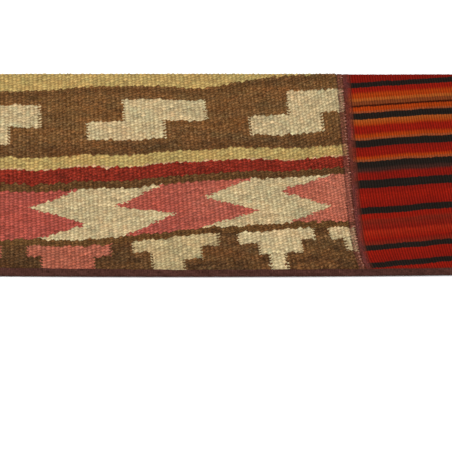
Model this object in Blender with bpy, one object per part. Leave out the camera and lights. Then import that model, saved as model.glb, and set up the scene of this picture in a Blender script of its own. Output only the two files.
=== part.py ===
"""A cut length of a patchwork rug.

Two flat-woven patches lie side by side, a coarse brown one and a fine striped
one. A tape fills the joint between them, and a folded tape binds the near edge.
The other three edges are plain cuts: the two sides along the ribs, the far one
across them. +X runs along the bound edge, +Y away from it and +Z up. The
underside lies on Z = 0. A depth is a distance from the bound edge towards +Y.
"""
import math

import bmesh
import bpy
from mathutils import Matrix, Vector

MM = 0.001

# The cut length as a whole
WIDTH = 420 * MM
DEPTH = 178 * MM
GAP = 0.3 * MM
RIB_LEAN = math.tan(math.radians(4.8))

# The bound edge bows out a little, furthest at one place along it
BOW_RADIUS = 11000 * MM
BOW_PLACE = -65 * MM

# The two edges of the joint at the far cut, and how each drifts on its way to the bound edge
JOINT_LEFT = 46.5 * MM
JOINT_RIGHT = 50.4 * MM
DRIFT_LEFT = 0.016
DRIFT_RIGHT = 0.010

# Near the bound edge the joint swings to +X, and takes the cloth beside it along
SWING = 7.5 * MM
SWING_DEPTH = 15 * MM
SWING_SPREAD = 35 * MM

# The folded tape of the bound edge
TAPE_THICKNESS = 0.7 * MM
UPPER_LIP = 4.4 * MM
LOWER_LIP = 4.8 * MM
BINDING_HEIGHT = 3.0 * MM
BINDING_STEPS = 24
NOSE_SEGMENTS = 8

# What the binding leaves for the edge of the cloth between its lips
PRESSED_UNDER = TAPE_THICKNESS + GAP
PRESSED_TOP = BINDING_HEIGHT - TAPE_THICKNESS - GAP
PRESSED_START = TAPE_THICKNESS + GAP
PRESSED_END = LOWER_LIP + GAP
RISE = 1.0 * MM

# Rows of points across each sheet: where, how much of the full height, height of the underside
ROWS = (
    {"depth": PRESSED_START, "fullness": 0.0, "under": PRESSED_UNDER},
    {"depth": PRESSED_END, "fullness": 0.0, "under": PRESSED_UNDER},
    {"depth": PRESSED_END + RISE, "fullness": 1.0, "under": 0.0},
    {"depth": 20 * MM, "fullness": 1.0, "under": 0.0},
    {"depth": 45 * MM, "fullness": 1.0, "under": 0.0},
    {"depth": DEPTH, "fullness": 1.0, "under": 0.0},
)

# The weave of each sheet: ribs across it, flats that round each rib, heights of furrow and rib
WEAVES = {
    "panel_brown": {"ribs": 88, "flats": 4, "furrow": 2.4 * MM, "rib": 3.0 * MM},
    "panel_striped": {"ribs": 92, "flats": 2, "furrow": 1.95 * MM, "rib": 2.3 * MM},
    "seam_tape": {"ribs": 1, "flats": 4, "furrow": 2.15 * MM, "rib": 2.6 * MM},
}

# Colour and roughness of each finish
FINISHES = {
    "panel_brown": {"colour": (0.15, 0.07, 0.025), "roughness": 0.9},
    "panel_striped": {"colour": (0.23, 0.015, 0.006), "roughness": 0.88},
    "seam_tape": {"colour": (0.12, 0.035, 0.022), "roughness": 0.85},
    "edge_binding": {"colour": (0.07, 0.026, 0.021), "roughness": 0.85},
}


def clear_scene():
    for thing in list(bpy.data.objects):
        bpy.data.objects.remove(thing, do_unlink=True)


def side_cut(far_x, depth):
    """A side cut along the ribs, which starts at far_x on the far edge."""
    return far_x + RIB_LEAN * (DEPTH - depth)


def joint_edge(far_x, drift, depth):
    """An edge of the joint before its swing."""
    return far_x + drift * (DEPTH - depth)


def brown_edges(depth):
    return side_cut(-WIDTH / 2, depth), joint_edge(JOINT_LEFT, DRIFT_LEFT, depth)


def tape_edges(depth):
    left = joint_edge(JOINT_LEFT, DRIFT_LEFT, depth) + GAP
    right = joint_edge(JOINT_RIGHT, DRIFT_RIGHT, depth) - GAP
    return left, right


def striped_edges(depth):
    left = joint_edge(JOINT_RIGHT, DRIFT_RIGHT, depth)
    return left, side_cut(WIDTH / 2 - RIB_LEAN * DEPTH, depth)


def swing(depth, distance):
    """How far the cloth swings to +X at a depth and at a distance from the joint."""
    return SWING * math.exp(-depth / SWING_DEPTH) * math.exp(-distance / SWING_SPREAD)


def bow(x):
    """How far the bound edge stands back at x."""
    return (x - BOW_PLACE) ** 2 / (2 * BOW_RADIUS)


def lay_out(share, depth, edges, joint_share):
    """The place on the floor of a point at a share of the way between a sheet's two edges."""
    left, right = edges(depth)
    x = left + share * (right - left)
    if joint_share is not None:
        x += swing(depth, abs(joint_share - share) * (right - left))
    else:
        x += swing(depth, 0.0)
    return x, depth + bow(x) * (1 - depth / DEPTH)


def dissolve_flat_underside(bm, lower, height):
    """Merge the faces of the underside that lie at one height."""
    flat = []
    for face in bm.faces:
        if all(vert in lower and abs(vert.co.z - height) < GAP / 100 for vert in face.verts):
            flat.append(face)
    bmesh.ops.dissolve_faces(bm, faces=flat)


def ribbed_sheet(name, edges, joint_share):
    """A sheet whose ribs are raised in the points of a grid, closed by a flat underside."""
    weave = WEAVES[name]
    columns = weave["ribs"] * weave["flats"]
    bm = bmesh.new()
    bmesh.ops.create_grid(bm, x_segments=columns, y_segments=len(ROWS) - 1, size=0.5)
    row_of = bm.verts.layers.int.new("row")
    for vert in bm.verts:
        share = vert.co.x + 0.5
        vert[row_of] = round((vert.co.y + 0.5) * (len(ROWS) - 1))
        row = ROWS[vert[row_of]]
        roundness = abs(math.sin(math.pi * round(share * columns) / weave["flats"]))
        full = weave["furrow"] + (weave["rib"] - weave["furrow"]) * roundness
        x, y = lay_out(share, row["depth"], edges, joint_share)
        vert.co = (x, y, PRESSED_TOP + (full - PRESSED_TOP) * row["fullness"])
    made = bmesh.ops.extrude_face_region(bm, geom=list(bm.faces))["geom"]
    lower = {item for item in made if isinstance(item, bmesh.types.BMVert)}
    for vert in lower:
        vert.co.z = ROWS[vert[row_of]]["under"]
    bmesh.ops.recalc_face_normals(bm, faces=bm.faces)
    dissolve_flat_underside(bm, lower, 0.0)
    dissolve_flat_underside(bm, lower, PRESSED_UNDER)
    return finish_mesh(name, bm)


def binding_profile():
    """The folded tape in section, as depth and height, round the nose and back along the inside."""
    radius = BINDING_HEIGHT / 2
    points = [(LOWER_LIP, 0.0)]
    for step in range(NOSE_SEGMENTS + 1):
        angle = math.pi * step / NOSE_SEGMENTS
        points.append((radius - radius * math.sin(angle), radius - radius * math.cos(angle)))
    points.append((UPPER_LIP - TAPE_THICKNESS / 3, BINDING_HEIGHT))
    points.append((UPPER_LIP, BINDING_HEIGHT - TAPE_THICKNESS / 3))
    points.append((UPPER_LIP, BINDING_HEIGHT - TAPE_THICKNESS))
    points.append((TAPE_THICKNESS, BINDING_HEIGHT - TAPE_THICKNESS))
    points.append((TAPE_THICKNESS, TAPE_THICKNESS))
    points.append((LOWER_LIP, TAPE_THICKNESS))
    return points


def edge_binding(name):
    """The tape's section, spun along the bow of the edge from one side cut to the other."""
    centre = Vector((BOW_PLACE, BOW_RADIUS, 0.0))
    start_x = side_cut(-WIDTH / 2, 0.0)
    end_x = WIDTH / 2
    start = math.asin((start_x - BOW_PLACE) / BOW_RADIUS)
    end = math.asin((end_x - BOW_PLACE) / BOW_RADIUS)
    bm = bmesh.new()
    section = [bm.verts.new((BOW_PLACE, depth, height)) for depth, height in binding_profile()]
    face = bm.faces.new(section)
    turn = Matrix.Rotation(start, 3, "Z")
    bmesh.ops.rotate(bm, cent=centre, matrix=turn, verts=bm.verts)
    bmesh.ops.spin(
        bm, geom=[face], cent=centre, axis=(0, 0, 1), angle=end - start, steps=BINDING_STEPS)
    bmesh.ops.recalc_face_normals(bm, faces=bm.faces)
    return finish_mesh(name, bm)


def finish_mesh(name, bm):
    mesh = bpy.data.meshes.new(name)
    bm.to_mesh(mesh)
    bm.free()
    mesh.shade_smooth()
    mesh.set_sharp_from_angle(angle=math.radians(50))
    mesh.materials.append(material(name))
    return bpy.data.objects.new(name, mesh)


def material(name):
    """A matt yarn or tape finish."""
    finish = FINISHES[name]
    made = bpy.data.materials.new(name)
    made.use_nodes = True
    shader = made.node_tree.nodes["Principled BSDF"]
    shader.inputs["Base Color"].default_value = (*finish["colour"], 1.0)
    shader.inputs["Roughness"].default_value = finish["roughness"]
    shader.inputs["Metallic"].default_value = 0.0
    return made


def build():
    clear_scene()
    collection = bpy.data.collections.new("patchwork_rug")
    bpy.context.scene.collection.children.link(collection)
    centre = bpy.data.objects.new("patchwork_rug_centre", None)
    collection.objects.link(centre)
    pieces = (
        ribbed_sheet("panel_brown", brown_edges, 1.0),
        ribbed_sheet("panel_striped", striped_edges, 0.0),
        ribbed_sheet("seam_tape", tape_edges, None),
        edge_binding("edge_binding"),
    )
    for piece in pieces:
        collection.objects.link(piece)
        piece.parent = centre
        piece.location = (0.0, -DEPTH / 2, 0.0)


build()
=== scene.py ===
import math

import bmesh
import bpy
import numpy as np
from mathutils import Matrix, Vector


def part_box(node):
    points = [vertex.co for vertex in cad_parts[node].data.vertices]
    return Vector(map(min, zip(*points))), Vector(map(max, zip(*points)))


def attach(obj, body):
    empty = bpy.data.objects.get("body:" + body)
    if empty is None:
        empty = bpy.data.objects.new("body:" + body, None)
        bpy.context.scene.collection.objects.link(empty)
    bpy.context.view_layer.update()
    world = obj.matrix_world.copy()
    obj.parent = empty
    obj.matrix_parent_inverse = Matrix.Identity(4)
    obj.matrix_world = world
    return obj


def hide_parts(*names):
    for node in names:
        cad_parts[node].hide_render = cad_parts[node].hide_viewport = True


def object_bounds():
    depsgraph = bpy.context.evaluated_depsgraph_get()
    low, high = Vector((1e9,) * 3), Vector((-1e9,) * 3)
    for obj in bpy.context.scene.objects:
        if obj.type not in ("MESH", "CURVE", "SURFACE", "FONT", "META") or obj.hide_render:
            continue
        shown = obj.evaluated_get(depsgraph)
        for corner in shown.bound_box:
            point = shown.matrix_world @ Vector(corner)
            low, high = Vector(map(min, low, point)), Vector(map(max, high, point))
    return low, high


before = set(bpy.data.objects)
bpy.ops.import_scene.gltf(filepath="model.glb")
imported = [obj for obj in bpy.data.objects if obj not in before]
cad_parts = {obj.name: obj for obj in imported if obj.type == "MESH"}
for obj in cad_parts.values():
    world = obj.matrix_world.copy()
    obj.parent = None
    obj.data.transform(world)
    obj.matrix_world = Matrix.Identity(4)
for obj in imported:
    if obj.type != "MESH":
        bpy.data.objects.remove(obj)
cad_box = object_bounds()

# Lengths below are in millimetres. "Across" runs along the bound edge from the rug's middle,
# "depth" runs from the bound edge towards the far cut.
MM = 0.001
LOW, HIGH = Vector(cad_box[0]), Vector(cad_box[1])
WIDTH = (HIGH.x - LOW.x) / MM
DEPTH = (HIGH.y - LOW.y) / MM

# The bound edge bows out a little, and the side cuts lean with the ribs
BOW_RADIUS = 11000
BOW_PLACE = -65
SIDE_LEAN = math.tan(math.radians(4.8))

# The joint between the patches, as in the solids
JOINT_LEFT = 46.5
JOINT_RIGHT = 50.4
DRIFT_LEFT = 0.016
DRIFT_RIGHT = 0.010
SWING = 7.5
SWING_DEPTH = 15
SWING_SPREAD = 35
STITCH_WIDTH = 4.7

# The clearance between neighbouring pieces
GAP = 0.3

# The folded tape of the bound edge
TAPE_THICKNESS = 0.7
UPPER_LIP = 4.4
LOWER_LIP = 4.8
BINDING_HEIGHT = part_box("edge_binding")[1].z / MM
PRESSED_TOP = BINDING_HEIGHT - TAPE_THICKNESS - GAP
PRESSED_UNDER = TAPE_THICKNESS + GAP
PRESSED_START = 1.2
UNDER_RISE = 1.0
UPPER_RISE = 1.5

# Dyes, as they look in even light
DYES = {
    "brown": (114, 78, 44),
    "dark brown": (82, 54, 30),
    "light brown": (132, 92, 51),
    "olive": (98, 65, 34),
    "cream": (204, 181, 136),
    "sand": (193, 170, 124),
    "olive brown": (104, 70, 36),
    "warm cream": (211, 187, 141),
    "straw": (189, 159, 96),
    "pale straw": (203, 160, 116),
    "brick": (135, 41, 26),
    "rose": (171, 80, 66),
    "old rose": (176, 98, 75),
    "pale rose": (193, 110, 86),
    "maroon": (68, 41, 35),
    "dark maroon": (60, 35, 29),
    "plum": (84, 42, 38),
    "mauve": (140, 76, 62),
    "seam red": (86, 39, 28),
    "scarlet": (138, 24, 11),
    "vermilion": (152, 37, 17),
    "crimson": (122, 21, 12),
    "orange": (160, 57, 12),
    "amber": (160, 80, 30),
    "rust": (115, 34, 20),
    "dark rust": (66, 22, 8),
    "tan": (145, 69, 36),
    "umber": (120, 58, 28),
    "black": (33, 27, 23),
    # thread glint is a painted highlight, the pale colour of lit stitches, not a dye
    "thread glint": (196, 140, 122),
    "warp": (196, 184, 160),
}


def dye(name):
    """A dye's colour in linear light."""
    share = np.array(DYES[name], float) / 255
    return np.where(share <= 0.04045, share / 12.92, ((share + 0.055) / 1.055) ** 2.4)


def ease(share):
    """Nought below 0, one above 1, and a smooth rise between."""
    share = np.clip(share, 0, 1)
    return share * share * (3 - 2 * share)


def blend_values(start, end, share):
    return start + (end - start) * share


def bow(across):
    return (across - BOW_PLACE) ** 2 / (2 * BOW_RADIUS)


def side_cut(far_across, depth):
    return far_across + SIDE_LEAN * (DEPTH - depth)


def swing(depth):
    """How far the joint swings to the right on its way to the bound edge."""
    return SWING * np.exp(-np.asarray(depth) / SWING_DEPTH)


def brown_edge(depth):
    return JOINT_LEFT + DRIFT_LEFT * (DEPTH - depth) + swing(depth)


def striped_edge(depth):
    return JOINT_RIGHT + DRIFT_RIGHT * (DEPTH - depth) + swing(depth)


def stitch_line(depth):
    return brown_edge(depth) - STITCH_WIDTH


def underside(across, depth):
    """The cloth's underside, raised where it lies on the binding's lower lip."""
    past = depth - bow(across) - LOWER_LIP - GAP
    return PRESSED_UNDER * (1 - ease(past / UNDER_RISE))


def past_lip(across, depth):
    """Nought under the binding's upper lip, one past it, and a short rise between."""
    return ease((depth - bow(across) - UPPER_LIP + GAP) / UPPER_RISE)


def waves(seed, count, longest, shortest):
    """A smooth uneven surface: a sum of slanting waves, about one high."""
    rng = np.random.default_rng(seed)
    lengths = np.exp(rng.uniform(math.log(shortest), math.log(longest), count))
    headings = rng.uniform(0, 2 * math.pi, count)
    phases = rng.uniform(0, 2 * math.pi, count)

    def height(x, y):
        total = 0
        for length, heading, phase in zip(lengths, headings, phases):
            along = x * math.cos(heading) + y * math.sin(heading)
            total = total + np.sin(2 * math.pi * along / length + phase)
        return total / math.sqrt(count)

    return height


def smooth_curve(places, values):
    """A curve through given points, smooth where it passes them."""
    places = np.array(places, float)
    values = np.array(values, float)
    slopes = np.gradient(values, places)

    def value(x):
        cell = np.clip(np.searchsorted(places, x) - 1, 0, len(places) - 2)
        width = places[cell + 1] - places[cell]
        u = np.clip((x - places[cell]) / width, 0, 1)
        rise = values[cell] * (2 * u ** 3 - 3 * u ** 2 + 1) + values[cell + 1] * (3 * u ** 2 - 2 * u ** 3)
        lean = slopes[cell] * (u ** 3 - 2 * u ** 2 + u) + slopes[cell + 1] * (u ** 3 - u ** 2)
        return rise + lean * width

    return value


# How far the brown patch's wefts rise or fall along their way, at four depths of the weave
DRIFT_PLACES = (-215, -183, -155, -135, -95, -75, -55, -15, 5, 25, 45)
WEFT_DRIFT = (
    {"weft": 36, "rise": (-8.6, -6.9, -6.5, -7.3, -3.4, -0.6, 2.2, 5.3, 7.4, 8.5, 8.8)},
    {"weft": 82, "rise": (-9.6, -8.5, -8.9, -6.5, -5.3, -2.4, 0.0, 3.1, 3.2, 5.0, 7.2)},
    {"weft": 101, "rise": (-6.6, -5.8, -7.2, -4.2, -3.9, -0.6, 0.0, 2.9, 1.3, 2.9, 5.4)},
    {"weft": 165, "rise": (-3.4, -2.4, -1.8, 0.9, 2.6, 1.6, 0.0, 8.6, 12.0, 14.0, 15.2)},
)
DRIFT_CURVES = [smooth_curve(DRIFT_PLACES, row["rise"]) for row in WEFT_DRIFT]


def brown_drift(across, weft):
    """How far a weft of the brown patch lies behind its own line at a place across."""
    levels = [row["weft"] for row in WEFT_DRIFT]
    rises = [curve(across) for curve in DRIFT_CURVES]
    total = rises[0]
    for lower, upper, below, above in zip(levels, levels[1:], rises, rises[1:]):
        share = np.clip((weft - lower) / (upper - lower), 0, 1)
        total = total + (above - below) * share
    return total


# Where the brown patch's bands lie, by the depth of the weft at which each ends
STRAW_TOP = 164.1
BANDS = (
    {"from": 96.0, "to": 106.0, "dye": "straw"},
    {"from": 84.8, "to": 96.0, "dye": "brick"},
    {"from": 78.3, "to": 84.8, "dye": "olive"},
    {"from": 36.0, "to": 78.3, "dye": "rose"},
    {"from": 95.8, "to": 96.6, "dye": "pale straw"},
    {"from": 30.7, "to": 36.0, "dye": "olive brown"},
)

# The stepped cream figures of the upper band: an upper block and a lower one to its left
STEP_TOP, STEP_MIDDLE, STEP_FOOT = 151.3, 132.2, 117.0
STEP_FIGURES = (
    {"upper": (-217.0, -158.6), "lower": (-238.0, -179.3), "higher": 0.0},
    {"upper": (-101.5, -45.4), "lower": (-126.5, -73.9), "higher": 1.2},
    {"upper": (10.8, 60.0), "lower": (-16.2, 33.0), "higher": -0.2},
)

# The cream arrows of the rose band: the place across and the weft of each corner, from the tip on
# the left over the top to the notch on the left
ARROWS = (
    ((-281, 64), (-243, 81.5), (-194, 81), (-223, 63), (-188, 49.5), (-215, 35), (-279, 35), (-246, 48)),
    ((-166.9, 64), (-125.5, 81.5), (-73.8, 81), (-110.5, 63), (-71.8, 51.5), (-108, 35), (-165.3, 35),
     (-129, 49)),
    ((-53.3, 63.5), (-12, 81.5), (42, 81.5), (-3.3, 66), (29, 49.5), (-2, 35), (-60, 35), (-17, 49.5)),
)

# The stepped figures that hang down to the bound edge, tier by tier
TIER_WEFTS = (30.7, 21.0, 10.8, -20.0)
HANGING = (
    {"dye": "old rose", "tiers": ((-238, -185.2), (-228, -196), (-218, -204))},
    {"dye": "old rose", "tiers": ((-168.5, -115.2), (-159.5, -125.5), (-159.5, -125.5))},
    {"dye": "sand", "tiers": ((-101, -46.2), (-89.4, -57.6), (-88.8, -69.5))},
    {"dye": "warm cream", "tiers": ((-33.3, 14.8), (-21, 5.6), (-15.5, -6))},
    {"dye": "warm cream", "tiers": ((24.6, 70), (33, 60), (43, 56))},
)


def inside(corners, s, t):
    """Which points lie in an outline, by counting the sides to their right."""
    found = np.zeros(np.shape(s), bool)
    for (s1, t1), (s2, t2) in zip(corners, corners[1:] + corners[:1]):
        if t1 == t2:
            continue
        crosses = (t1 > t) != (t2 > t)
        found ^= crosses & (s < s1 + (t - t1) * (s2 - s1) / (t2 - t1))
    return found


def brown_chart(s, t):
    """The dye of the brown patch, from a rib's place and a weft's depth."""
    colours = np.empty(s.shape + (3,))
    streak = waves(11, 9, 40, 5)(t, t * 0) + 0.35 * waves(12, 8, 60, 12)(s, t)
    streak = streak + waves(14, 14, 14, 3)(s * 0.35, t)
    colours[:] = blend_values(dye("brown"), dye("dark brown"), ease(0.35 + 0.3 * streak)[..., None])
    colours[:] = blend_values(colours, dye("light brown"), (0.6 * ease((t - 100) / 40))[..., None])
    heather = np.random.default_rng(15).normal(0, 1, s.shape)
    redder = 0.06 * waves(16, 9, 40, 8)(s * 0.4, t)
    colours *= np.stack([1 + redder, np.ones_like(redder), 1 - redder], axis=-1)
    under_straw = np.exp(-((t - STRAW_TOP + 4) / 3.0) ** 2) + np.exp(-((t - 108.5) / 2.0) ** 2)
    colours[:] = blend_values(colours, dye("olive"), (0.7 * np.clip(under_straw, 0, 1))[..., None])
    low = ease((36 - t) / 20) * ease((-60 - s) / 90)
    colours[:] = blend_values(colours, dye("dark brown"), (0.85 * low)[..., None])
    colours[t > STRAW_TOP] = dye("straw")
    for band in BANDS:
        colours[(t > band["from"]) & (t <= band["to"])] = dye(band["dye"])
    rose = (t > 36.0) & (t <= 78.3)
    warm = ease(0.5 + 0.2 * waves(13, 7, 120, 25)(s, t) + (s + 25) / 200)
    colours[rose] = blend_values(dye("rose"), dye("pale rose"), warm[rose][:, None])
    for arrow in ARROWS:
        colours[inside(arrow, s, t) & rose] = dye("cream")
    for figure in STEP_FIGURES:
        weft = t - figure["higher"]
        for block, foot, top in (("upper", STEP_MIDDLE, STEP_TOP), ("lower", STEP_FOOT, STEP_MIDDLE)):
            left, right = figure[block]
            colours[(weft > foot) & (weft <= top) & (s > left) & (s < right)] = dye("cream")
    for figure in HANGING:
        for tier, (left, right) in enumerate(figure["tiers"]):
            high, foot = TIER_WEFTS[tier], TIER_WEFTS[tier + 1]
            colours[(t < high) & (t >= foot) & (s > left) & (s < right)] = dye(figure["dye"])
    uneven = (np.where(colours[..., 0] < 0.3, 0.30, 0.09) * heather)[..., None]
    return colours * np.clip(1 + uneven * np.array([0.8, 1.0, 1.4]), 0.3, 2.2)


# The striped patch from its far edge to the bound edge: where each stripe ends, its dye at the far
# side and at the near side, and over what depth it melts into the next
STRIPES = (
    {"ends": 169.6, "far": "crimson", "near": "crimson", "melts": 0.8},
    {"ends": 164.6, "far": "black", "near": "black", "melts": 0.8},
    {"ends": 159.3, "far": "scarlet", "near": "scarlet", "melts": 3.5},
    {"ends": 154.4, "far": "orange", "near": "orange", "melts": 2.0},
    {"ends": 151.6, "far": "amber", "near": "amber", "melts": 1.5},
    {"ends": 148.0, "far": "umber", "near": "umber", "melts": 0.8},
    {"ends": 146.2, "far": "dark rust", "near": "dark rust", "melts": 0.8},
    {"ends": 142.2, "far": "orange", "near": "orange", "melts": 1.0},
    {"ends": 140.6, "far": "tan", "near": "tan", "melts": 0.8},
    {"ends": 134.6, "far": "black", "near": "black", "melts": 0.8},
    {"ends": 128.9, "far": "amber", "near": "orange", "melts": 3.5},
    {"ends": 120.9, "far": "scarlet", "near": "scarlet", "melts": 3.5},
    {"ends": 117.6, "far": "orange", "near": "orange", "melts": 1.2},
    {"ends": 115.7, "far": "tan", "near": "tan", "melts": 0.8},
    {"ends": 109.0, "far": "black", "near": "black", "melts": 0.8},
    {"ends": 100.3, "far": "crimson", "near": "scarlet", "melts": 3.0},
    {"ends": 98.0, "far": "orange", "near": "orange", "melts": 1.2},
    {"ends": 96.0, "far": "tan", "near": "tan", "melts": 0.8},
    {"ends": 90.0, "far": "black", "near": "black", "melts": 3.0},
    {"ends": 86.3, "far": "dark maroon", "near": "dark maroon", "melts": 3.5},
    {"ends": 79.4, "far": "crimson", "near": "crimson", "melts": 0.8},
    {"ends": 72.1, "far": "black", "near": "black", "melts": 0.8},
    {"ends": 65.0, "far": "crimson", "near": "scarlet", "melts": 4.0},
    {"ends": 55.8, "far": "scarlet", "near": "crimson", "melts": 0.8},
    {"ends": 50.2, "far": "black", "near": "black", "melts": 0.8},
    {"ends": 45.6, "far": "scarlet", "near": "scarlet", "melts": 3.5},
    {"ends": 36.4, "far": "rust", "near": "crimson", "melts": 4.0},
    {"ends": 29.0, "far": "vermilion", "near": "scarlet", "melts": 3.0},
    {"ends": 24.6, "far": "crimson", "near": "rust", "melts": 1.0},
    {"ends": 20.0, "far": "black", "near": "black", "melts": 0.8},
    {"ends": 10.2, "far": "scarlet", "near": "crimson", "melts": 1.0},
    {"ends": 5.6, "far": "black", "near": "black", "melts": 0.8},
    {"ends": -2.0, "far": "scarlet", "near": "crimson", "melts": 1.0},
    {"ends": -6.0, "far": "black", "near": "black", "melts": 0.8},
    {"ends": -60.0, "far": "orange", "near": "scarlet", "melts": 0.8},
)
FIRST_STRIPE = 182.0
SHARP = 0.01


def striped_chart(s, t):
    """The dye of the striped patch."""
    colours = np.zeros(s.shape + (3,))
    start = FIRST_STRIPE
    melts = SHARP
    t = t + 0.25 * waves(32, 8, 60, 9)(s, t * 0.3)
    for stripe in STRIPES:
        share = np.clip((start - t) / (start - stripe["ends"]), 0, 1)[..., None]
        tone = blend_values(dye(stripe["far"]), dye(stripe["near"]), share)
        reached = ease(0.5 + (start - t) / melts)[..., None]
        colours = blend_values(colours, tone, reached)
        start = stripe["ends"]
        melts = stripe["melts"]
    return colours


# A bead's form: how round it is over the rib, how much of its height the rib and the bead's own
# swell give, how much of that swell is left at the furrow, and how uneven the yarn is
RIB_ROUNDNESS = 0.8
RIB_SHARE = 0.36
BEAD_SHARE = 0.64
SWELL_AT_FURROW = 0.4
YARN_UNEVENNESS = 0.16


def in_order(past, values, last):
    """Gives the points past a cut the value of their row's nearest one, and keeps those rising."""
    nearest = past.shape[1] - 1 - past[:, ::-1].argmax(axis=1) if last else past.argmax(axis=1)
    rising = np.maximum.accumulate(values[np.arange(len(values)), nearest])
    return np.where(past, rising[:, None], values)


class Kilim:
    """A weft-faced cloth: its ribs, its beads, how it lies and which dye each bead has."""

    def __init__(self, name, seed, ribs, beads):
        self.name = name
        self.rng = np.random.default_rng(seed)
        self.rib_edges = self.uneven_steps(ribs, 0.06)
        self.bead_edges = self.uneven_steps(beads, 0.09)
        self.ribs = len(self.rib_edges) - 1
        self.beads = len(self.bead_edges) - 1

    def uneven_steps(self, pitches, unevenness):
        """Edges of hand-made steps through a table of places and the pitch at each."""
        places = [row["at"] for row in pitches]
        widths = [row["pitch"] for row in pitches]
        edges = [places[0]]
        slow = 0.0
        while edges[-1] < places[-1]:
            slow = 0.8 * slow + 0.2 * self.rng.normal()
            width = np.interp(edges[-1], places, widths)
            edges.append(edges[-1] + width * (1 + unevenness * (self.rng.normal() + 2 * slow)))
        return np.array(edges)

    def rib_wander(self, ribs, t):
        """How far the beads of each rib sit off their row, which changes along the rib."""
        phases = self.rng.uniform(0, 2 * math.pi, (3, self.ribs + 1))
        rib = np.floor(ribs).astype(int)
        total = 0
        for phase, length in zip(phases, (6.1, 10.7, 19.0)):
            total = total + np.sin(2 * math.pi * t / length + phase[rib])
        return total

    def outline(self, across, depth):
        """Draws points that lie outside the cut back onto it, and says which those are."""
        left, right = self.sides(depth)
        past_left, past_right = across <= left, across >= right
        depth = in_order(past_left, depth, True)
        depth = in_order(past_right, depth, False)
        left, right = self.sides(depth)
        across = np.where(past_left, left, np.where(past_right, right, across))
        past_near, past_far = depth <= bow(across) + PRESSED_START, depth >= DEPTH
        across = in_order(past_near.T, across.T, True).T
        across = in_order(past_far.T, across.T, False).T
        depth = np.clip(depth, bow(across) + PRESSED_START, DEPTH)
        return across, depth, np.array([past_left, past_right, past_near, past_far])


class BrownKilim(Kilim):
    """The coarse patch on the left."""
    ground = "brown"
    lean = 0.085
    rib, bead = 2.86, 2.4
    rib_steps, bead_steps = 3, 4
    furrow, crown = 2.25, 3.1
    slant = 0.65
    zigzag = 0.22
    wander = 0.15
    tooth = 0.55
    mottle = 0.12
    whole_beads = 0.45
    stray = 0.16

    def sides(self, depth):
        return side_cut(-WIDTH / 2, depth), brown_edge(depth)

    def lay(self, s, t):
        across = s - self.lean * (t - 100)
        away = np.clip(brown_edge(t) - across, 0, None)
        across = across + swing(np.clip(t, 0, None)) * np.exp(-away / SWING_SPREAD)
        across = across + 0.25 * waves(21, 10, 90, 16)(s * 1.7, t * 0.5)
        return across, t + brown_drift(across, t) + 0.2 * waves(22, 10, 60, 10)(s, t)

    def chart(self, s, t):
        return brown_chart(s, t)

    def cover_and_shadow(self, across, depth, colours, rng):
        """Overcast thread hides most of the strip between the line of stitches and the joint, and a
        painted shadow darkens the cloth along the line of stitches.
        """
        past = across - stitch_line(depth)
        mixed = 0.3 + 0.5 * rng.uniform(0, 1, past.shape)[..., None]
        thread = blend_values(dye("plum"), dye("mauve"), mixed)
        share = 0.66 * ease((past + 0.2) / 0.5)
        # Painted shadow: a dark line where the stitches dig into the cloth
        shadow = 1 - 0.45 * np.exp(-((past - 0.3) / 0.5) ** 2)
        colours = blend_values(colours, thread, share[..., None]) * shadow[..., None]
        return blend_values(colours, dye("seam red"), ease((past - 3.0) / 1.2)[..., None])

    def press(self, across, depth, height, relief):
        past = across - stitch_line(depth)
        flat = 2.05 + 0.4 * relief - 0.25 * ease((past - 3.4) / 1.2)
        height = blend_values(height, flat, ease((past + 0.25) / 0.9))
        return height - 0.35 * np.exp(-((past - 0.4) / 0.4) ** 2)


class StripedKilim(Kilim):
    """The fine patch on the right."""
    ground = "crimson"
    lean = 0.083
    rib, bead = 1.72, 1.0
    rib_steps, bead_steps = 2, 2
    furrow, crown = 1.98, 2.35
    slant = 0.3
    zigzag = 0.08
    wander = 0.1
    tooth = 0.0
    mottle = 0.05
    whole_beads = 0.4
    stray = 0.08

    def sides(self, depth):
        return striped_edge(depth), side_cut(WIDTH / 2 - SIDE_LEAN * DEPTH, depth)

    def lay(self, s, t):
        across = s - self.lean * (t - 100)
        away = np.clip(across - striped_edge(t), 0, None)
        across = across + swing(np.clip(t, 0, None)) * np.exp(-away / SWING_SPREAD)
        across = across + 0.15 * waves(23, 10, 80, 14)(s * 1.7, t * 0.5)
        rise = 0.105 - 0.025 * np.clip(t, 0, DEPTH) / DEPTH
        depth = t + rise * (across - JOINT_RIGHT) + 0.3 * waves(24, 8, 90, 25)(s, t * 0.4)
        return across, depth

    def chart(self, s, t):
        return striped_chart(s, t)

    def cover_and_shadow(self, across, depth, colours, rng):
        """The tape's fuzz lies over the edge of the stripes."""
        past = across - striped_edge(depth)
        share = 0.85 * (1 - ease((past - 0.3) / 1.6))
        over = 0.5 * (1 - ease((depth - bow(across) - UPPER_LIP - GAP) / 1.8))
        return blend_values(colours, dye("seam red"), np.maximum(share, over)[..., None])

    def press(self, across, depth, height, relief):
        past = across - striped_edge(depth)
        flat = 1.95 + 0.2 * relief
        return blend_values(flat, height, ease((past - 0.3) / 1.5))


def grid_of(name, columns, rows):
    """A flat grid with a corner for every place of the weave, first along +X and then along +Y."""
    bpy.ops.object.select_all(action="DESELECT")
    bpy.ops.mesh.primitive_grid_add(x_subdivisions=columns, y_subdivisions=rows, size=1)
    piece = bpy.context.object
    piece.name = name
    piece.data.name = name
    return piece


def place_points(mesh, across, depth, height):
    places = np.stack([across * MM, LOW.y + depth * MM, height * MM], axis=-1)
    mesh.vertices.foreach_set("co", places.astype(np.float32).ravel())


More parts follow.
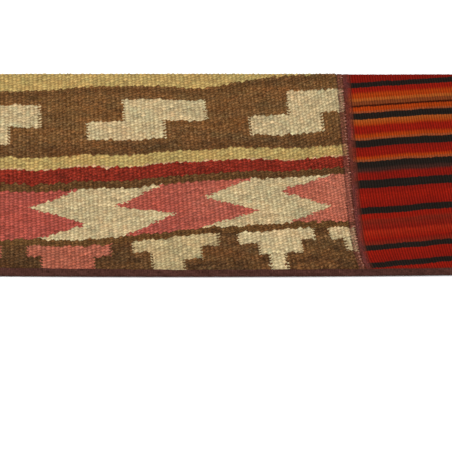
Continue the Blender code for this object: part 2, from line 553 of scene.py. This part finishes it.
def lay_weave_map(mesh, along_wefts, along_ribs):
    """The cloth's own map: it counts ribs one way and beads the other."""
    layer = mesh.uv_layers.active or mesh.uv_layers.new(name="weave")
    layer.name = "weave"
    points = np.empty(len(mesh.loops), np.int32)
    mesh.loops.foreach_get("vertex_index", points)
    counts = np.stack([along_wefts, along_ribs], axis=-1).reshape(-1, 2)[points]
    layer.data.foreach_set("uv", counts.astype(np.float32).ravel())


def colour_corners(mesh, colours):
    """Gives every corner of each face that face's colour."""
    layer = mesh.color_attributes.new("yarn", "FLOAT_COLOR", "CORNER")
    full = np.ones((len(mesh.polygons), 4, 4), np.float32)
    full[:, :, :3] = colours.reshape(-1, 1, 3)
    layer.data.foreach_set("color", full.ravel())


def colour_piece(piece, chart):
    """Gives each face of a piece the dye that its middle has."""
    mesh = piece.data
    middles = np.empty(len(mesh.polygons) * 3)
    mesh.polygons.foreach_get("center", middles)
    across, depth, height = middles.reshape(-1, 3).T / MM
    corners = np.empty(len(mesh.polygons), np.int32)
    mesh.polygons.foreach_get("loop_total", corners)
    full = np.ones((len(mesh.loops), 4), np.float32)
    full[:, :3] = np.repeat(chart(across, depth - LOW.y / MM, height), corners, axis=0)
    layer = mesh.color_attributes.new("yarn", "FLOAT_COLOR", "CORNER")
    layer.data.foreach_set("color", full.ravel())


def weave_face(cloth):
    """The upper face of the cloth, with a point at each step of each rib and bead."""
    columns, rows = cloth.ribs * cloth.rib_steps, cloth.beads * cloth.bead_steps
    piece = grid_of(cloth.name, columns, rows)
    ribs, beads = np.meshgrid(
        np.arange(columns + 1) / cloth.rib_steps, np.arange(rows + 1) / cloth.bead_steps)
    s = np.interp(ribs, np.arange(cloth.ribs + 1), cloth.rib_edges)
    t = np.interp(beads, np.arange(cloth.beads + 1), cloth.bead_edges)
    odd = np.floor(ribs) % 2
    u, v = ribs % 1, (beads + odd / 2) % 1
    roundness = np.sin(math.pi * u) ** RIB_ROUNDNESS
    t = t + cloth.slant * cloth.rib * (u - 0.5) * roundness
    t = t + cloth.wander * cloth.bead * cloth.rib_wander(ribs, t) * roundness
    s = s + cloth.zigzag * cloth.rib * np.cos(2 * math.pi * v) * (1 - roundness)
    across, depth = cloth.lay(s, t)
    across, depth, out = cloth.outline(across, depth)
    jitter = 1 + YARN_UNEVENNESS * cloth.rng.normal(0, 1, s.shape)
    swell = 0.5 - 0.5 * np.cos(2 * math.pi * v)
    swell = swell * (SWELL_AT_FURROW + (1 - SWELL_AT_FURROW) * roundness)
    relief = jitter * (RIB_SHARE * roundness + BEAD_SHARE * swell)
    height = cloth.furrow + (cloth.crown - cloth.furrow) * relief
    height = height + 0.12 * waves(41, 8, 140, 40)(across, depth)
    height = cloth.press(across, depth, height, relief)
    height = blend_values(PRESSED_TOP, height, past_lip(across, depth))
    place_points(piece.data, across, depth, height)
    lay_weave_map(piece.data, ribs, beads)
    colour_corners(piece.data, dye_faces(cloth))
    return piece, out


def dye_faces(cloth):
    """Gives every bead its dye, with a little of the unevenness of hand-spun wool."""
    ribs, beads = np.meshgrid(
        (np.arange(cloth.ribs * cloth.rib_steps) + 0.5) / cloth.rib_steps,
        (np.arange(cloth.beads * cloth.bead_steps) + 0.5) / cloth.bead_steps)
    rib = np.floor(ribs).astype(int)
    bead = np.floor(beads + (rib % 2) / 2).astype(int)
    s = np.interp(ribs, np.arange(cloth.ribs + 1), cloth.rib_edges)
    rng = np.random.default_rng(51)
    size = (cloth.beads + 1, cloth.ribs)
    place = blend_values(beads, bead + 0.5 - (rib % 2) / 2, cloth.whole_beads)
    place = place + cloth.stray * rng.normal(0, 1, size)[bead, rib]
    t = np.interp(place, np.arange(cloth.beads + 1), cloth.bead_edges)
    row = np.floor(beads).astype(int)
    reach = cloth.tooth * cloth.rib * (1 + 0.25 * rng.normal(0, 1, cloth.beads + 1))[row]
    colours = cloth.chart(s + reach * (1 - 2 * np.abs(2 * (beads % 1) - 1)), t)
    shade = 1 + cloth.mottle * rng.normal(0, 1, size) + 0.03 * rng.normal(0, 1, (cloth.beads + 1, 1))
    warmth = 0.02 * rng.normal(0, 1, size)[bead, rib] + 0.025 * waves(53, 12, 60, 7)(s, t)
    tint = np.stack([1 + warmth, 1 - 0.5 * warmth, 1 - warmth], axis=-1)
    uneven = np.clip(shade, 0.6, 1.4)[bead, rib] * (1 + 0.035 * waves(52, 10, 70, 8)(s, t))
    colours = colours * uneven[..., None] * tint
    across, depth = cloth.lay(s, t)
    return cloth.cover_and_shadow(across, depth, colours, rng)


def drop_outside(model, out):
    """Removes the faces that lie past the cut, whose corners were all drawn back onto one side of it."""
    model.verts.ensure_lookup_table()
    gone = []
    for face in model.faces:
        corners = [vert.index for vert in face.verts]
        if out[:, corners].all(axis=1).any():
            gone.append(face)
    bmesh.ops.delete(model, geom=gone, context="FACES")


def close_sheet(piece, out):
    """Turns a face into a closed sheet, with plain cut walls and a flat underside."""
    model = bmesh.new()
    model.from_mesh(piece.data)
    drop_outside(model, out)
    bmesh.ops.remove_doubles(model, verts=model.verts, dist=0.001 * MM)
    made = bmesh.ops.extrude_face_region(model, geom=list(model.faces))["geom"]
    lower = {item for item in made if isinstance(item, bmesh.types.BMVert)}
    inner = [vert for vert in lower if all(edge.other_vert(vert) in lower for edge in vert.link_edges)]
    for _ in range(4):
        bmesh.ops.smooth_vert(model, verts=inner, factor=0.5, use_axis_x=True, use_axis_y=True)
    for vert in lower:
        vert.co.z = float(underside(vert.co.x / MM, (vert.co.y - LOW.y) / MM)) * MM
    flat = []
    walls = []
    for face in model.faces:
        below = sum(vert in lower for vert in face.verts)
        if below == len(face.verts):
            if max(vert.co.z for vert in face.verts) - min(vert.co.z for vert in face.verts) < 1e-6:
                flat.append(face)
        elif below:
            walls.append(face)
        face.smooth = below < len(face.verts)
    for wall in walls:
        for edge in wall.edges:
            edge.smooth = sum(face in walls for face in edge.link_faces) == 2
    bmesh.ops.recalc_face_normals(model, faces=model.faces)
    if model.calc_volume(signed=True) < 0:
        bmesh.ops.reverse_faces(model, faces=model.faces)
    pressed = [face for face in flat if face.verts[0].co.z > PRESSED_UNDER * MM / 2]
    laid = [face for face in flat if face.verts[0].co.z < PRESSED_UNDER * MM / 2]
    bmesh.ops.dissolve_faces(model, faces=pressed)
    bmesh.ops.dissolve_faces(model, faces=laid)
    model.to_mesh(piece.data)
    model.free()
    piece.data.update()


def plain_underside(mesh, cloth):
    """Gives the underside one colour and an even weave."""
    normals = np.empty(len(mesh.polygons) * 3)
    mesh.polygons.foreach_get("normal", normals)
    corners = np.empty(len(mesh.polygons), np.int32)
    mesh.polygons.foreach_get("loop_total", corners)
    below = np.repeat(normals[2::3] < -0.5, corners)
    layer = mesh.color_attributes["yarn"]
    full = np.empty(len(mesh.loops) * 4, np.float32)
    layer.data.foreach_get("color", full)
    full = full.reshape(-1, 4)
    full[below, :3] = dye(cloth.ground)
    layer.data.foreach_set("color", full.ravel())
    places = np.empty(len(mesh.vertices) * 3, np.float32)
    mesh.vertices.foreach_get("co", places)
    points = np.empty(len(mesh.loops), np.int32)
    mesh.loops.foreach_get("vertex_index", points)
    weave = mesh.uv_layers["weave"]
    counts = np.empty(len(mesh.loops) * 2, np.float32)
    weave.data.foreach_get("uv", counts)
    counts = counts.reshape(-1, 2)
    even = places.reshape(-1, 3)[points, :2] / (cloth.rib * MM, cloth.bead * MM)
    counts[below] = even[below]
    weave.data.foreach_set("uv", counts.ravel())


def kilim_piece(cloth):
    piece, out = weave_face(cloth)
    close_sheet(piece, out.reshape(4, -1))
    plain_underside(piece.data, cloth)
    return piece


class Value:
    """A shader socket that can be used in sums."""

    def __init__(self, finish, socket):
        self.finish = finish
        self.socket = socket

    def __add__(self, other):
        return self.finish.maths("ADD", self, other)

    def __radd__(self, other):
        return self.finish.maths("ADD", other, self)

    def __sub__(self, other):
        return self.finish.maths("SUBTRACT", self, other)

    def __rsub__(self, other):
        return self.finish.maths("SUBTRACT", other, self)

    def __mul__(self, other):
        return self.finish.maths("MULTIPLY", self, other)

    def __rmul__(self, other):
        return self.finish.maths("MULTIPLY", other, self)


class Finish:
    """A matt textile material, whose nodes are made as its expressions are written."""

    def __init__(self, name, roughness):
        self.material = bpy.data.materials.new(name)
        self.material.use_nodes = True
        self.tree = self.material.node_tree
        self.shader = self.tree.nodes["Principled BSDF"]
        self.shader.inputs["Roughness"].default_value = roughness
        self.shader.inputs["Specular IOR Level"].default_value = 0.02

    def feed(self, socket, value):
        if isinstance(value, Value):
            self.tree.links.new(value.socket, socket)
        else:
            socket.default_value = value

    def node(self, kind, settings=None, sockets=None, output=0):
        made = self.tree.nodes.new(kind)
        for key, value in (settings or {}).items():
            setattr(made, key, value)
        for key, value in (sockets or {}).items():
            self.feed(made.inputs[key], value)
        return Value(self, made.outputs[output])

    def maths(self, operation, *values):
        sockets = dict(enumerate(values))
        return self.node("ShaderNodeMath", {"operation": operation}, sockets)

    def places(self, scale):
        """Object coordinates, stretched."""
        return self.stretched(self.node("ShaderNodeTexCoord", output="Object"), scale)

    def stretched(self, points, scale):
        return self.node("ShaderNodeVectorMath", {"operation": "MULTIPLY"}, {0: points, 1: scale})

    def noise(self, places, scale, detail, roughness):
        sockets = {"Vector": places, "Scale": scale, "Detail": detail, "Roughness": roughness}
        return self.node("ShaderNodeTexNoise", None, sockets, output="Fac")

    def tinted(self, colour, strength):
        """A colour made lighter or darker by a value."""
        grey = self.node("ShaderNodeCombineColor", None, {0: strength, 1: strength, 2: strength})
        settings = {"data_type": "RGBA", "blend_type": "MULTIPLY"}
        return self.node("ShaderNodeMix", settings, {0: 1.0, 6: colour, 7: grey}, output=2)

    def finish(self, colour, height, distance, strength):
        bump = self.node(
            "ShaderNodeBump", None, {"Height": height, "Distance": distance, "Strength": strength},
            output="Normal")
        self.feed(self.shader.inputs["Base Color"], colour)
        self.feed(self.shader.inputs["Normal"], bump)
        return self.material


def wool_finish(name, depth, ribbed, hollow_shade, glint):
    """Hand-spun wool: each bead is round, with painted shade where it dips, and pale fibres, partly
    painted glints, run along it.
    """
    finish = Finish(name, 0.95)
    yarn = finish.node("ShaderNodeVertexColor", {"layer_name": "yarn"})
    counts = finish.node("ShaderNodeUVMap", {"uv_map": "weave"})
    ribs = finish.node("ShaderNodeSeparateXYZ", None, {0: counts})
    uneven = finish.noise(finish.stretched(counts, (1.0, 1.3, 1.0)), 1.0, 2.0, 0.5)
    beads = Value(finish, ribs.socket.node.outputs["Y"]) + 0.5 * uneven
    odd = finish.maths("FLOORED_MODULO", finish.maths("FLOOR", ribs), 2.0)
    rib = finish.maths("SINE", finish.maths("FRACT", ribs) * math.pi)
    bead = 0.5 - 0.5 * finish.maths("COSINE", (beads + 0.5 * odd) * (2 * math.pi))
    swell = ribbed * rib + (1 - ribbed) * bead * (0.45 + 0.55 * rib)
    fibres = finish.noise(finish.stretched(counts, (2.2, 20.0, 1.0)), 1.0, 3.0, 0.65)
    clumps = finish.noise(finish.stretched(counts, (1.5, 2.4, 1.0)), 1.0, 2.0, 0.6)
    # Pale fibres mixed toward the warp's colour: partly real undyed fibres, partly a painted highlight
    # standing in for sheen
    pale = finish.maths("POWER", fibres, 4.0)
    light = finish.node("ShaderNodeRGBToBW", None, {0: yarn})
    middle = ribbed * 2 / math.pi + (1 - ribbed) * 0.4
    # Painted shade: the yarn's colour is darkened in the furrows and creases between beads
    shade = 1 - hollow_shade * (1 - middle) + hollow_shade * (1.25 - 0.75 * light) * (swell - middle)
    strength = shade * (0.46 + 0.4 * fibres + 0.60 * clumps)
    settings = {"data_type": "RGBA", "blend_type": "MIX"}
    sockets = {0: glint * pale, 6: finish.tinted(yarn, strength), 7: (*dye("warp"), 1.0)}
    colour = finish.node("ShaderNodeMix", settings, sockets, output=2)
    return finish.finish(colour, swell + 0.4 * fibres, depth * MM, 0.7)


def thread_finish(name):
    """Sewing thread, with the colour of each stitch, which on the paler stitches holds a painted
    highlight.
    """
    finish = Finish(name, 0.8)
    yarn = finish.node("ShaderNodeVertexColor", {"layer_name": "yarn"})
    fibres = finish.noise(finish.places((1.0, 1.0, 1.0)), 3000.0, 2.0, 0.6)
    return finish.finish(finish.tinted(yarn, 0.75 + 0.5 * fibres), fibres, 0.1 * MM, 0.5)


def tape_finish(name):
    """Dark cotton tape with a fine close weave."""
    finish = Finish(name, 0.9)
    yarn = finish.node("ShaderNodeVertexColor", {"layer_name": "yarn"})
    fibres = finish.noise(finish.places((1.0, 1.6, 1.0)), 700.0, 4.0, 0.7)
    weave = finish.node(
        "ShaderNodeTexWave", {"wave_type": "BANDS", "bands_direction": "X"},
        {"Vector": finish.places((1.0, 0.5, 1.0)), "Scale": 260.0, "Distortion": 2.5})
    strength = 0.2 + 1.3 * fibres + 0.3 * weave
    return finish.finish(finish.tinted(yarn, strength), 0.6 * fibres + 0.4 * weave, 0.3 * MM, 0.6)


def joint_chart(across, depth, height):
    """Dark red cotton, which takes on the stripes' dyes where fuzz from them lies over it."""
    share = (across - brown_edge(depth)) / (striped_edge(depth) - brown_edge(depth))
    cloudy = ease(0.5 + 0.45 * waves(62, 8, 45, 7)(depth, across))
    tape = blend_values(dye("seam red"), dye("plum"), cloudy[..., None])
    fuzz = 0.33 * ease((share - 0.3) / 0.7)
    grain = 1 + 0.3 * np.random.default_rng(63).normal(0, 1, across.shape)
    dyed = blend_values(tape, striped_chart(across, depth), fuzz[..., None])
    return dyed * np.clip(grain, 0.4, 1.8)[..., None]


def binding_chart(across, depth, height):
    """Dark maroon cotton, cloudy along its length, with painted shade darkening its lower part."""
    cloudy = ease(0.5 + 0.4 * waves(73, 9, 60, 6)(across, depth * 3))
    tape = blend_values(dye("dark maroon"), dye("maroon"), cloudy[..., None])
    # Painted shade: the lower lip and the underside of the nose are darkened
    low = 0.35 * (1 - ease(height / 2.2))
    grain = 1 + 0.16 * np.random.default_rng(74).normal(0, 1, across.shape)
    return tape * (np.clip(grain, 0.5, 1.6) * (1 - low))[..., None]


def joint_tape():
    """The tape in the joint: a narrow band of fine cords that fills it from edge to edge."""
    columns, rows = 12, 240
    piece = grid_of("joint_tape", columns, rows)
    share, depth = np.meshgrid(
        np.linspace(0, 1, columns + 1), np.linspace(PRESSED_START, DEPTH, rows + 1))
    left, right = brown_edge(depth) - 0.2, striped_edge(depth) + 0.2
    across = left + share * (right - left)
    depth = np.clip(depth, bow(across) + PRESSED_START, DEPTH)
    pucker = waves(61, 10, 9, 2.5)(across * 0.4, depth)
    height = 2.05 + 0.2 * np.sin(math.pi * share) ** 0.6 + 0.08 * pucker
    height = blend_values(PRESSED_TOP, height, past_lip(across, depth))
    place_points(piece.data, across, depth, height)
    lay_weave_map(piece.data, across, depth)
    close_sheet(piece, np.zeros((4, share.size), bool))
    colour_piece(piece, joint_chart)
    return piece


def folded_binding():
    """The tape folded over the bound edge: two lips and a round nose between them."""
    radius = BINDING_HEIGHT / 2
    turns = [math.pi * step / 12 for step in range(13)]
    section = [(LOWER_LIP, 0.0), (LOWER_LIP * 0.6, 0.0)]
    section += [(radius * (1 - math.sin(turn)), radius * (1 - math.cos(turn))) for turn in turns]
    section += [(3.0, BINDING_HEIGHT), (UPPER_LIP - 0.25, BINDING_HEIGHT)]
    section += [(UPPER_LIP, BINDING_HEIGHT - 0.2)]
    section += [(UPPER_LIP, PRESSED_TOP + 0.3), (0.9, PRESSED_TOP + 0.3), (TAPE_THICKNESS, radius)]
    section += [(0.9, TAPE_THICKNESS), (LOWER_LIP, TAPE_THICKNESS)]
    columns, rows = 420, len(section) - 1
    piece = grid_of("folded_binding", columns, rows)
    share, row = np.meshgrid(np.linspace(0, 1, columns + 1), np.arange(rows + 1))
    into = np.array([point[0] for point in section])[row]
    height = np.array([point[1] for point in section])[row]
    across = side_cut(-WIDTH / 2, 0) + share * (WIDTH / 2 - side_cut(-WIDTH / 2, 0))
    upper = ease(height / BINDING_HEIGHT - 0.2)
    lip = ease((into - 2.5) / 1.5) * upper
    pull = (0.22 * waves(71, 8, 60, 6)(across, across * 0) + 1.2 * ease((-60 - across) / 120)) * lip
    puff = np.minimum(0, 0.10 * waves(72, 8, 30, 4)(across, across * 0) - 0.08) * upper
    depth = bow(across) + into + pull
    place_points(piece.data, across, depth, height + puff)
    last_outer = len(turns) + 3
    lay_weave_map(piece.data, across, into + 4 * (row > last_outer))
    model = bmesh.new()
    model.from_mesh(piece.data)
    ends = [edge for edge in model.edges if edge.is_boundary]
    along = [edge for edge in ends if abs(edge.verts[0].co.x - edge.verts[1].co.x) > 0.05 * MM]
    bmesh.ops.bridge_loops(model, edges=along)
    rims = [edge for edge in model.edges if edge.is_boundary]
    bmesh.ops.holes_fill(model, edges=rims, sides=0)
    for face in model.faces:
        face.smooth = True
    bmesh.ops.recalc_face_normals(model, faces=model.faces)
    model.to_mesh(piece.data)
    model.free()
    bpy.ops.object.select_all(action="DESELECT")
    piece.select_set(True)
    bpy.context.view_layer.objects.active = piece
    bpy.ops.object.shade_smooth_by_angle(angle=math.radians(50))
    colour_piece(piece, binding_chart)
    return piece


def stitch_of(model, start, end, lift, thickness, colour):
    """One stitch: a short thread that rises from the cloth and dips back into it."""
    rings = 7
    sides = 5
    along = end - start
    aside = Vector((-along.y, along.x, 0)).normalized()
    grid = bmesh.ops.create_grid(model, x_segments=rings - 1, y_segments=sides, size=1)
    layer = model.loops.layers.float_color["yarn"]
    for vert in grid["verts"]:
        step = (vert.co.x + 1) / 2
        turn = 2 * math.pi * (vert.co.y + 1) / 2
        arch = math.sin(math.pi * step)
        centre = start + along * step + Vector((0, 0, (lift * arch - 0.25 * (1 - arch)) * MM))
        radius = thickness * MM / 2 * (0.35 + 0.65 * arch ** 0.5)
        vert.co = centre + radius * (math.cos(turn) * aside + math.sin(turn) * Vector((0, 0, 1)))
    for face in {face for vert in grid["verts"] for face in vert.link_faces}:
        face.smooth = True
        for loop in face.loops:
            loop[layer] = (*colour, 1)


def thread_piece(name, stitches):
    """All the stitches of one kind, joined into one piece."""
    mesh = bpy.data.meshes.new(name)
    model = bmesh.new()
    model.loops.layers.float_color.new("yarn")
    for stitch in stitches:
        stitch_of(model, **stitch)
    bmesh.ops.remove_doubles(model, verts=model.verts, dist=0.002 * MM)
    rims = [edge for edge in model.edges if edge.is_boundary]
    bmesh.ops.holes_fill(model, edges=rims, sides=0)
    bmesh.ops.recalc_face_normals(model, faces=model.faces)
    model.to_mesh(mesh)
    model.free()
    piece = bpy.data.objects.new(name, mesh)
    bpy.context.scene.collection.objects.link(piece)
    return piece


def point_at(across, depth, height):
    return Vector((across * MM, LOW.y + depth * MM, height * MM))


def overcast_stitches():
    """Two uneven columns of short stitches over the flattened edge of the brown patch."""
    rng = np.random.default_rng(81)
    columns = (
        {"from": 0.6, "long": 1.6, "lift": 0.08, "dyes": ("plum", "mauve"), "kept": 0.6},
        # The second column's stitches are blended toward thread glint, a painted highlight
        {"from": 2.4, "long": 1.9, "lift": 0.18, "dyes": ("mauve", "thread glint"), "kept": 0.8},
    )
    stitches = []
    for column in columns:
        depth = 6.0
        while depth < DEPTH - 1.5:
            depth += 2.75 * (1 + 0.14 * rng.normal())
            begin = float(stitch_line(depth)) + column["from"] + 0.25 * rng.normal()
            length = column["long"] * (1 + 0.22 * rng.normal())
            tone = blend_values(dye(column["dyes"][0]), dye(column["dyes"][1]), rng.uniform())
            if rng.uniform() > column["kept"]:
                continue
            stitches.append({
                "start": point_at(begin, depth, 2.2),
                "end": point_at(begin + length, depth + 0.35 + 0.12 * rng.normal(), 2.2),
                "lift": column["lift"],
                "thickness": 0.6,
                "colour": tone,
            })
    return thread_piece("overcast_stitches", stitches)


def settle(piece, slot, *nodes):
    """Hands a finished piece to the frame."""
    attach(piece, "root")
    if nodes:
        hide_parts(*nodes)


def add_camera():
    """The photo's view: from 50 degrees above the floor, over the bound edge."""
    look_at = Vector((-35.0, 42.6 - DEPTH / 2, 0.0)) * MM
    distance, height_angle = 1.14, math.radians(50.4)
    data = bpy.data.cameras.new("camera")
    data.lens = 140
    data.sensor_width = 36
    data.clip_start = 0.05
    camera = bpy.data.objects.new("camera", data)
    bpy.context.scene.collection.objects.link(camera)
    back = Vector((0, -math.cos(height_angle), math.sin(height_angle)))
    camera.location = look_at + distance * back
    camera.rotation_euler = (math.pi / 2 - height_angle, 0, 0)
    bpy.context.scene.camera = camera


def add_light(name, place, size, power):
    data = bpy.data.lights.new(name, "AREA")
    data.shape = "DISK"
    data.size = size
    data.energy = power
    light = bpy.data.objects.new(name, data)
    bpy.context.scene.collection.objects.link(light)
    light.location = place
    light.rotation_euler = (Vector((0, 0, 0)) - Vector(place)).to_track_quat("-Z", "Y").to_euler()


def add_studio():
    bpy.context.scene.view_settings.view_transform = "Standard"
    world = bpy.data.worlds.new("studio")
    world.use_nodes = True
    world.node_tree.nodes["Background"].inputs["Color"].default_value = (1, 1, 1, 1)
    world.node_tree.nodes["Background"].inputs["Strength"].default_value = 0.82
    bpy.context.scene.world = world
    add_light("key", (-0.9, -0.3, 1.6), 0.9, 26)
    bpy.ops.object.select_all(action="DESELECT")
    bpy.ops.mesh.primitive_plane_add(size=6, location=(0, 0, -0.05 * MM))
    floor = bpy.context.object
    floor.name = "floor"
    finish = Finish("floor_paper", 0.9)
    finish.shader.inputs["Base Color"].default_value = (0.93, 0.93, 0.93, 1)
    floor.data.materials.append(finish.material)


# How wide the ribs and how long the beads are, by the place in each weave
RIB_PITCHES = (
    {"at": -206.5, "pitch": 2.95},
    {"at": -155, "pitch": 2.95},
    {"at": -145, "pitch": 2.65},
    {"at": -128, "pitch": 2.65},
    {"at": -113, "pitch": 3.1},
    {"at": -90, "pitch": 2.85},
    {"at": 5, "pitch": 2.8},
    {"at": 25, "pitch": 2.35},
    {"at": 56, "pitch": 2.3},
)
BROWN_BEAD_PITCHES = ({"at": -12, "pitch": 2.4}, {"at": 186, "pitch": 2.4})
STRIPED_RIB_PITCHES = ({"at": 40, "pitch": 1.72}, {"at": 204, "pitch": 1.72})
STRIPED_BEAD_PITCHES = ({"at": -18, "pitch": 1.0}, {"at": 180, "pitch": 1.0})


def main():
    brown = kilim_piece(BrownKilim("kilim_brown", 1, RIB_PITCHES, BROWN_BEAD_PITCHES))
    brown.data.materials.append(wool_finish("brown_wool", 0.6, 0.20, 0.62, 0.14))
    settle(brown, "brown_kilim", "panel_brown")
    striped = kilim_piece(
        StripedKilim("kilim_striped", 2, STRIPED_RIB_PITCHES, STRIPED_BEAD_PITCHES))
    striped.data.materials.append(wool_finish("striped_wool", 0.3, 0.75, 0.6, 0.02))
    settle(striped, "striped_kilim", "panel_striped")
    cotton = tape_finish("maroon_cotton")
    seam = joint_tape()
    seam.data.materials.append(cotton)
    settle(seam, "maroon_tape", "seam_tape")
    binding = folded_binding()
    binding.data.materials.append(cotton)
    settle(binding, "maroon_tape", "edge_binding")
    stitches = overcast_stitches()
    stitches.data.materials.append(thread_finish("sewing_thread"))
    settle(stitches, "maroon_tape")
    add_camera()
    add_studio()


main()
